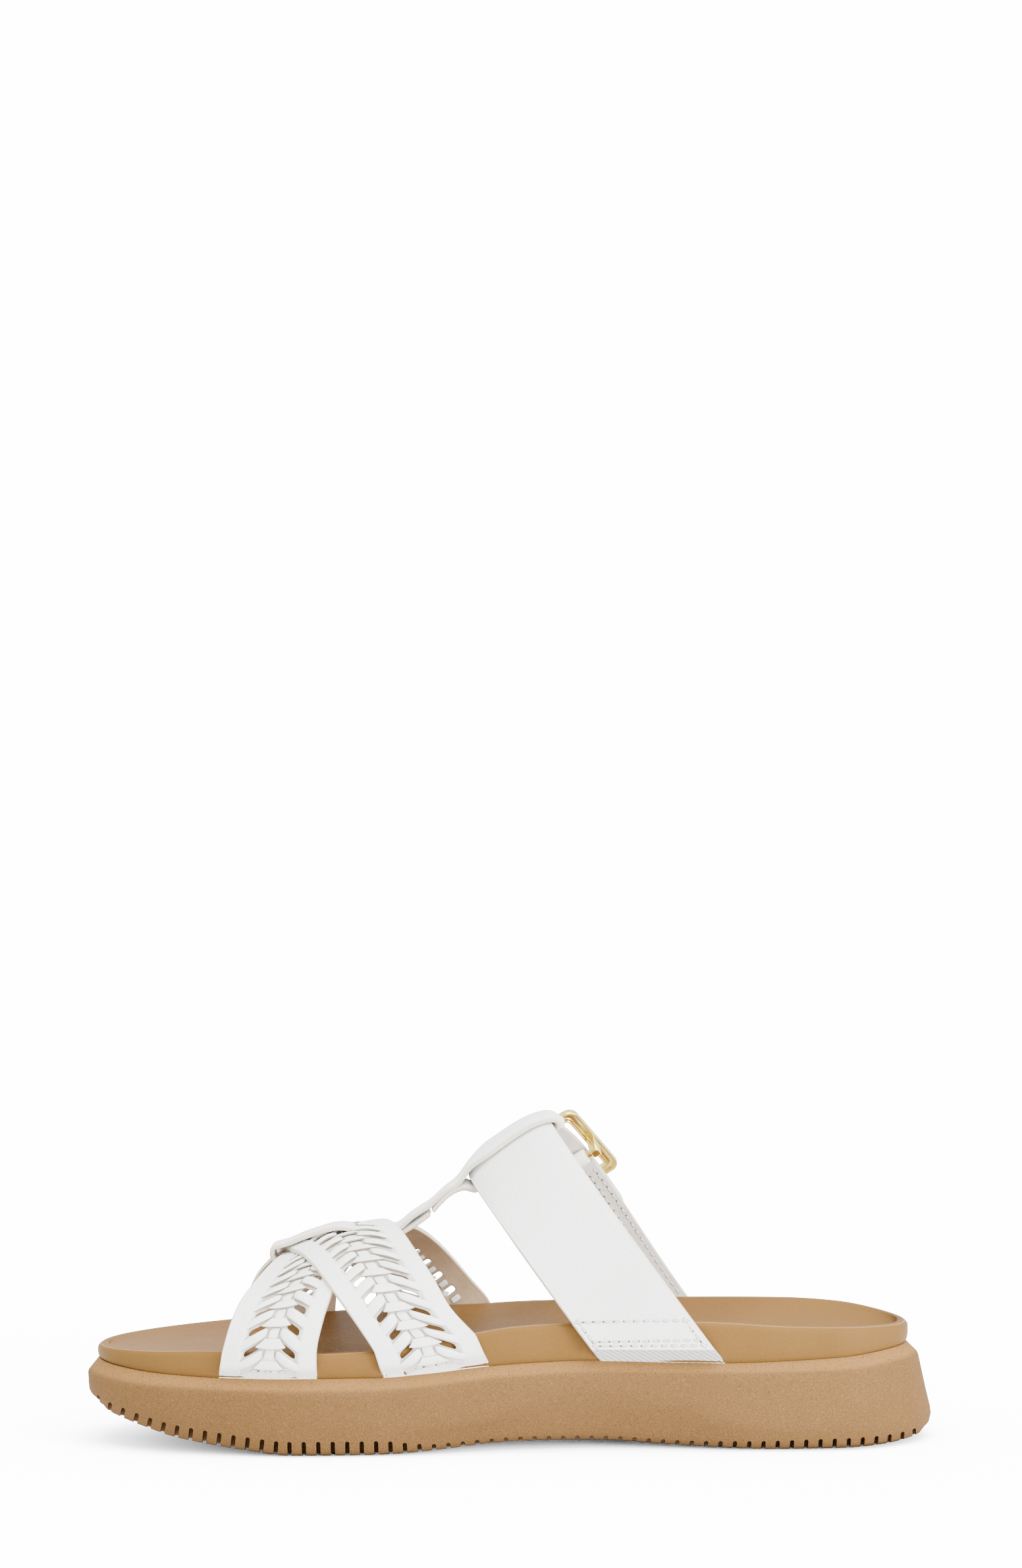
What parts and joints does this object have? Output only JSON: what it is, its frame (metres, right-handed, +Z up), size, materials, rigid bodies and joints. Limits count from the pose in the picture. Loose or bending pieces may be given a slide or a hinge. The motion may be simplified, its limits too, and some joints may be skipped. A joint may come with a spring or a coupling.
{
  "type": "slide sandal",
  "caption": "Right slide sandal with a moulded sole, leather footbed, crossed woven bands, a T-strap and a buckled instep strap.",
  "frame": {"origin": "under the middle of the sole, on the plane that it stands on", "axes": "-X to the toe, +X to the heel, -Y to the medial side, +Y to the lateral side, +Z up"},
  "size_m": [0.263, 0.0958, 0.1011],
  "materials": {
    "foam": "matt moulded foam with a fine speckle",
    "tan_leather": "fine grained tan leather",
    "white_leather": "soft off-white grained leather",
    "elastic": "woven elastic, pale grey-white with a fine diagonal rib",
    "gold_metal": "light gold plating, satin"
  },
  "bodies": {
    "root": {"sole": "foam", "footbed": "tan_leather", "vamp": "white_leather", "t_strap": "white_leather", "instep_strap": "white_leather", "gore": "elastic", "lateral_strap": "white_leather", "buckle": "gold_metal", "prong": "gold_metal"}
  },
  "joints": []
}
